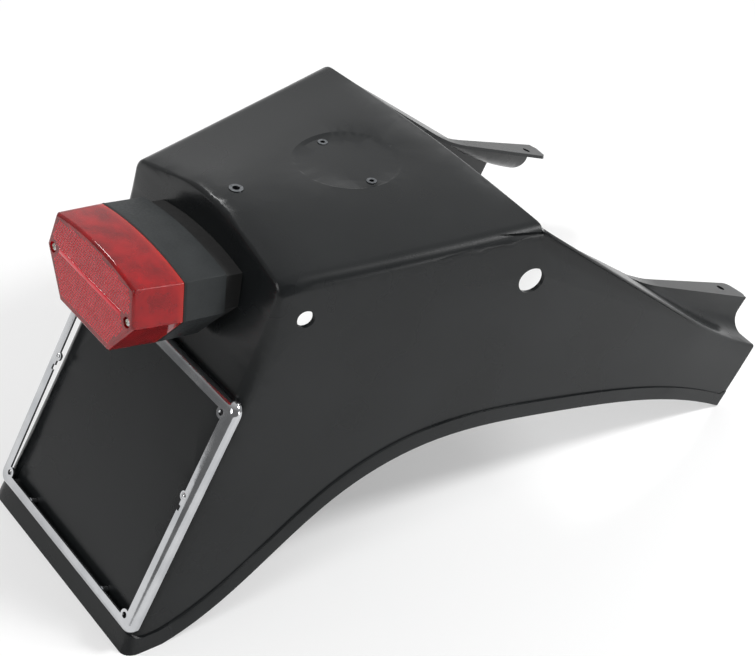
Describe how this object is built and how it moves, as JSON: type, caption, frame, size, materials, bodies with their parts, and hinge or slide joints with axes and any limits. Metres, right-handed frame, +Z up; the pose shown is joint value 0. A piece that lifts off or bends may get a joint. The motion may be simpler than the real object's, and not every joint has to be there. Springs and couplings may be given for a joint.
{
  "type": "motorcycle rear fender",
  "caption": "Moulded motorcycle rear fender with a crowned deck, flared arched walls, a red tail lamp and a bright square plate frame.",
  "frame": {"origin": "under the middle of the fender, on the surface that it rests on", "axes": "+X to the right seen from behind, +Y towards the front of the motorcycle, +Z up"},
  "size_m": [0.3162, 0.5432, 0.2619],
  "materials": {
    "charcoal_plastic": "satin moulded charcoal",
    "frame_chrome": "bright chrome plate",
    "red_lens": "clear red moulding",
    "clear_lens": "clear moulding",
    "lamp_plastic": "satin dark grey",
    "black_rubber": "matt black",
    "zinc_steel": "bright zinc",
    "bright_sheet": "polished sheet",
    "contact_brass": "plain brass",
    "insulator_board": "brown board",
    "bulb_clear": "clear glass"
  },
  "bodies": {
    "root": {"fender_shell": "charcoal_plastic", "plate_frame": "frame_chrome", "frame_pins": "frame_chrome", "frame_washers": "zinc_steel", "frame_nuts": "zinc_steel", "lamp_base_pad": "black_rubber", "lamp_housing": "lamp_plastic", "lens_gasket": "black_rubber", "lamp_lens": "red_lens", "plate_light_window": "clear_lens", "lens_screws": "zinc_steel", "lamp_reflector": "bright_sheet", "bulb_socket": "zinc_steel", "socket_insulator": "insulator_board", "socket_contacts": "contact_brass", "bulb_cap": "contact_brass", "bulb_glass": "bulb_clear", "lamp_bolts": "zinc_steel", "lamp_washers": "zinc_steel", "lamp_nuts": "zinc_steel", "wiring_grommet": "black_rubber", "deck_insert": "zinc_steel", "recess_inserts": "zinc_steel"}
  },
  "joints": []
}
